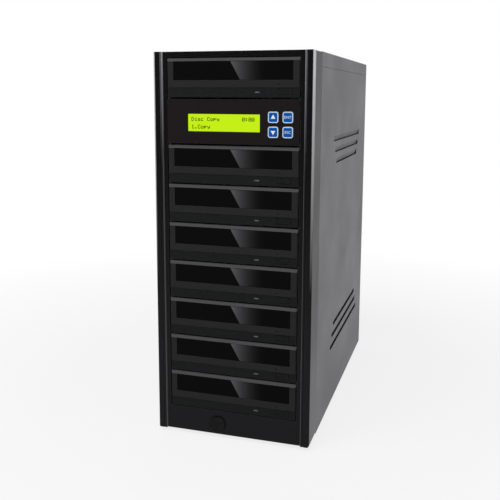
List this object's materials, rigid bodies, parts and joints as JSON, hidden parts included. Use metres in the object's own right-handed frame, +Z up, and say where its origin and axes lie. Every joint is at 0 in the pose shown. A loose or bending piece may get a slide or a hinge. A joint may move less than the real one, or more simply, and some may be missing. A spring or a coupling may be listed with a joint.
{
  "type": "cd dvd duplicator tower",
  "caption": "Free-standing disc copying tower: sliding disc trays stacked in a narrow steel case with a display and keys on its front, rear fans and a power inlet",
  "frame": {"origin": "middle of the bounding box, on the floor that the feet stand on", "axes": "+Z up, the front faces -Y, +X is the right side seen from the front"},
  "size_m": [0.18, 0.3774, 0.4371],
  "materials": {
    "frame_plastic": "moulded black plastic, satin",
    "bezel_plastic": "black plastic with a fine texture",
    "panel_plastic": "black overlay on plastic",
    "tray_plastic": "glossy black door, dark tray",
    "button_plastic": "black plastic",
    "key_plastic": "blue keys with a pale rim",
    "spindle_plastic": "dark grey moulded plastic",
    "foot_rubber": "black rubber",
    "case_steel": "fine textured dark paint",
    "cage_steel": "zinc plated sheet",
    "drive_steel": "zinc plated sheet",
    "supply_steel": "plated sheet",
    "inlet_plastic": "black plastic, plated blades",
    "rocker_plastic": "black plastic",
    "fan_plastic": "black plastic",
    "circuit_board": "green board with black parts",
    "display": "lit yellow-green display",
    "works_metal": "pressed and cast metal parts",
    "screw_steel": "nickel plated screws",
    "data_jacket": "red cable jacket",
    "power_jacket": "black cable jacket"
  },
  "bodies": {
    "case": {"front_bezel": "frame_plastic", "rubber_feet": "foot_rubber", "base_pan": "case_steel", "right_side_panel": "case_steel", "left_side_panel": "case_steel", "top_cover": "case_steel", "rear_panel": "case_steel", "psu_case": "supply_steel", "power_inlet": "inlet_plastic", "fan_frames": "fan_plastic", "bay_cage": "cage_steel", "controller_board": "circuit_board", "control_panel": "panel_plastic", "lcd_module": "display", "drive_bezels": "bezel_plastic", "drive_traverses": "works_metal", "screws": "screw_steel", "sata_cables": "data_jacket", "power_harness": "power_jacket", "drive_1_case": "drive_steel", "drive_2_case": "drive_steel", "drive_3_case": "drive_steel", "drive_4_case": "drive_steel", "drive_5_case": "drive_steel", "drive_6_case": "drive_steel", "drive_7_case": "drive_steel", "drive_8_case": "drive_steel"},
    "tray_1": {"tray_1": "tray_plastic"},
    "spindle_1": {"spindle_1": "spindle_plastic"},
    "eject_button_1": {"eject_button_1": "bezel_plastic"},
    "tray_2": {"tray_2": "tray_plastic"},
    "spindle_2": {"spindle_2": "spindle_plastic"},
    "eject_button_2": {"eject_button_2": "bezel_plastic"},
    "tray_3": {"tray_3": "tray_plastic"},
    "spindle_3": {"spindle_3": "spindle_plastic"},
    "eject_button_3": {"eject_button_3": "bezel_plastic"},
    "tray_4": {"tray_4": "tray_plastic"},
    "spindle_4": {"spindle_4": "spindle_plastic"},
    "eject_button_4": {"eject_button_4": "bezel_plastic"},
    "tray_5": {"tray_5": "tray_plastic"},
    "spindle_5": {"spindle_5": "spindle_plastic"},
    "eject_button_5": {"eject_button_5": "bezel_plastic"},
    "tray_6": {"tray_6": "tray_plastic"},
    "spindle_6": {"spindle_6": "spindle_plastic"},
    "eject_button_6": {"eject_button_6": "bezel_plastic"},
    "tray_7": {"tray_7": "tray_plastic"},
    "spindle_7": {"spindle_7": "spindle_plastic"},
    "eject_button_7": {"eject_button_7": "bezel_plastic"},
    "tray_8": {"tray_8": "tray_plastic"},
    "spindle_8": {"spindle_8": "spindle_plastic"},
    "eject_button_8": {"eject_button_8": "bezel_plastic"},
    "key_up": {"key_up": "key_plastic"},
    "key_enter": {"key_enter": "key_plastic"},
    "key_down": {"key_down": "key_plastic"},
    "key_escape": {"key_escape": "key_plastic"},
    "power_button": {"power_button": "button_plastic"},
    "rocker_switch": {"rocker_switch": "rocker_plastic"},
    "psu_fan_rotor": {"psu_fan_rotor": "fan_plastic"},
    "rear_fan_rotor_upper": {"rear_fan_rotor_upper": "fan_plastic"},
    "rear_fan_rotor_lower": {"rear_fan_rotor_lower": "fan_plastic"}
  },
  "joints": [
    {"name": "tray_1_slide", "type": "slide", "parent": "case", "child": "tray_1", "axis": [0, -1, 0], "range_m": [0, 0.135]},
    {"name": "spindle_1_spin", "type": "hinge", "parent": "case", "child": "spindle_1", "pos_m": [0, -0.11625, 0.3886], "axis": [0, 0, 1], "continuous": true},
    {"name": "eject_button_1_press", "type": "slide", "parent": "case", "child": "eject_button_1", "axis": [0, 1, 0], "range_m": [0, 0.001], "stiffness_N_per_m": 300, "springref_m": -0.0005},
    {"name": "tray_2_slide", "type": "slide", "parent": "case", "child": "tray_2", "axis": [0, -1, 0], "range_m": [0, 0.135]},
    {"name": "spindle_2_spin", "type": "hinge", "parent": "case", "child": "spindle_2", "pos_m": [0, -0.11625, 0.2953], "axis": [0, 0, 1], "continuous": true},
    {"name": "eject_button_2_press", "type": "slide", "parent": "case", "child": "eject_button_2", "axis": [0, 1, 0], "range_m": [0, 0.001], "stiffness_N_per_m": 300, "springref_m": -0.0005},
    {"name": "tray_3_slide", "type": "slide", "parent": "case", "child": "tray_3", "axis": [0, -1, 0], "range_m": [0, 0.135]},
    {"name": "spindle_3_spin", "type": "hinge", "parent": "case", "child": "spindle_3", "pos_m": [0, -0.11625, 0.2518], "axis": [0, 0, 1], "continuous": true},
    {"name": "eject_button_3_press", "type": "slide", "parent": "case", "child": "eject_button_3", "axis": [0, 1, 0], "range_m": [0, 0.001], "stiffness_N_per_m": 300, "springref_m": -0.0005},
    {"name": "tray_4_slide", "type": "slide", "parent": "case", "child": "tray_4", "axis": [0, -1, 0], "range_m": [0, 0.135]},
    {"name": "spindle_4_spin", "type": "hinge", "parent": "case", "child": "spindle_4", "pos_m": [0, -0.11625, 0.2083], "axis": [0, 0, 1], "continuous": true},
    {"name": "eject_button_4_press", "type": "slide", "parent": "case", "child": "eject_button_4", "axis": [0, 1, 0], "range_m": [0, 0.001], "stiffness_N_per_m": 300, "springref_m": -0.0005},
    {"name": "tray_5_slide", "type": "slide", "parent": "case", "child": "tray_5", "axis": [0, -1, 0], "range_m": [0, 0.135]},
    {"name": "spindle_5_spin", "type": "hinge", "parent": "case", "child": "spindle_5", "pos_m": [0, -0.11625, 0.1648], "axis": [0, 0, 1], "continuous": true},
    {"name": "eject_button_5_press", "type": "slide", "parent": "case", "child": "eject_button_5", "axis": [0, 1, 0], "range_m": [0, 0.001], "stiffness_N_per_m": 300, "springref_m": -0.0005},
    {"name": "tray_6_slide", "type": "slide", "parent": "case", "child": "tray_6", "axis": [0, -1, 0], "range_m": [0, 0.135]},
    {"name": "spindle_6_spin", "type": "hinge", "parent": "case", "child": "spindle_6", "pos_m": [0, -0.11625, 0.1213], "axis": [0, 0, 1], "continuous": true},
    {"name": "eject_button_6_press", "type": "slide", "parent": "case", "child": "eject_button_6", "axis": [0, 1, 0], "range_m": [0, 0.001], "stiffness_N_per_m": 300, "springref_m": -0.0005},
    {"name": "tray_7_slide", "type": "slide", "parent": "case", "child": "tray_7", "axis": [0, -1, 0], "range_m": [0, 0.135]},
    {"name": "spindle_7_spin", "type": "hinge", "parent": "case", "child": "spindle_7", "pos_m": [0, -0.11625, 0.0778], "axis": [0, 0, 1], "continuous": true},
    {"name": "eject_button_7_press", "type": "slide", "parent": "case", "child": "eject_button_7", "axis": [0, 1, 0], "range_m": [0, 0.001], "stiffness_N_per_m": 300, "springref_m": -0.0005},
    {"name": "tray_8_slide", "type": "slide", "parent": "case", "child": "tray_8", "axis": [0, -1, 0], "range_m": [0, 0.135]},
    {"name": "spindle_8_spin", "type": "hinge", "parent": "case", "child": "spindle_8", "pos_m": [0, -0.11625, 0.0343], "axis": [0, 0, 1], "continuous": true},
    {"name": "eject_button_8_press", "type": "slide", "parent": "case", "child": "eject_button_8", "axis": [0, 1, 0], "range_m": [0, 0.001], "stiffness_N_per_m": 300, "springref_m": -0.0005},
    {"name": "key_up_press", "type": "slide", "parent": "case", "child": "key_up", "axis": [0, 1, 0], "range_m": [0, 0.0006], "stiffness_N_per_m": 300, "springref_m": -0.0005},
    {"name": "key_enter_press", "type": "slide", "parent": "case", "child": "key_enter", "axis": [0, 1, 0], "range_m": [0, 0.0006], "stiffness_N_per_m": 300, "springref_m": -0.0005},
    {"name": "key_down_press", "type": "slide", "parent": "case", "child": "key_down", "axis": [0, 1, 0], "range_m": [0, 0.0006], "stiffness_N_per_m": 300, "springref_m": -0.0005},
    {"name": "key_escape_press", "type": "slide", "parent": "case", "child": "key_escape", "axis": [0, 1, 0], "range_m": [0, 0.0006], "stiffness_N_per_m": 300, "springref_m": -0.0005},
    {"name": "power_button_press", "type": "slide", "parent": "case", "child": "power_button", "axis": [0, 1, 0], "range_m": [0, 0.003], "stiffness_N_per_m": 300, "springref_m": -0.001},
    {"name": "rocker_tilt", "type": "hinge", "parent": "case", "child": "rocker_switch", "pos_m": [-0.043, 0.17795, 0.3915], "axis": [1, 0, 0], "range_deg": [-8, 8]},
    {"name": "psu_fan_rotor_spin", "type": "hinge", "parent": "case", "child": "psu_fan_rotor", "pos_m": [0.018, 0.17045, 0.3735], "axis": [0, 1, 0], "continuous": true},
    {"name": "rear_fan_rotor_upper_spin", "type": "hinge", "parent": "case", "child": "rear_fan_rotor_upper", "pos_m": [0, 0.17045, 0.268], "axis": [0, 1, 0], "continuous": true},
    {"name": "rear_fan_rotor_lower_spin", "type": "hinge", "parent": "case", "child": "rear_fan_rotor_lower", "pos_m": [0, 0.17045, 0.152], "axis": [0, 1, 0], "continuous": true}
  ]
}
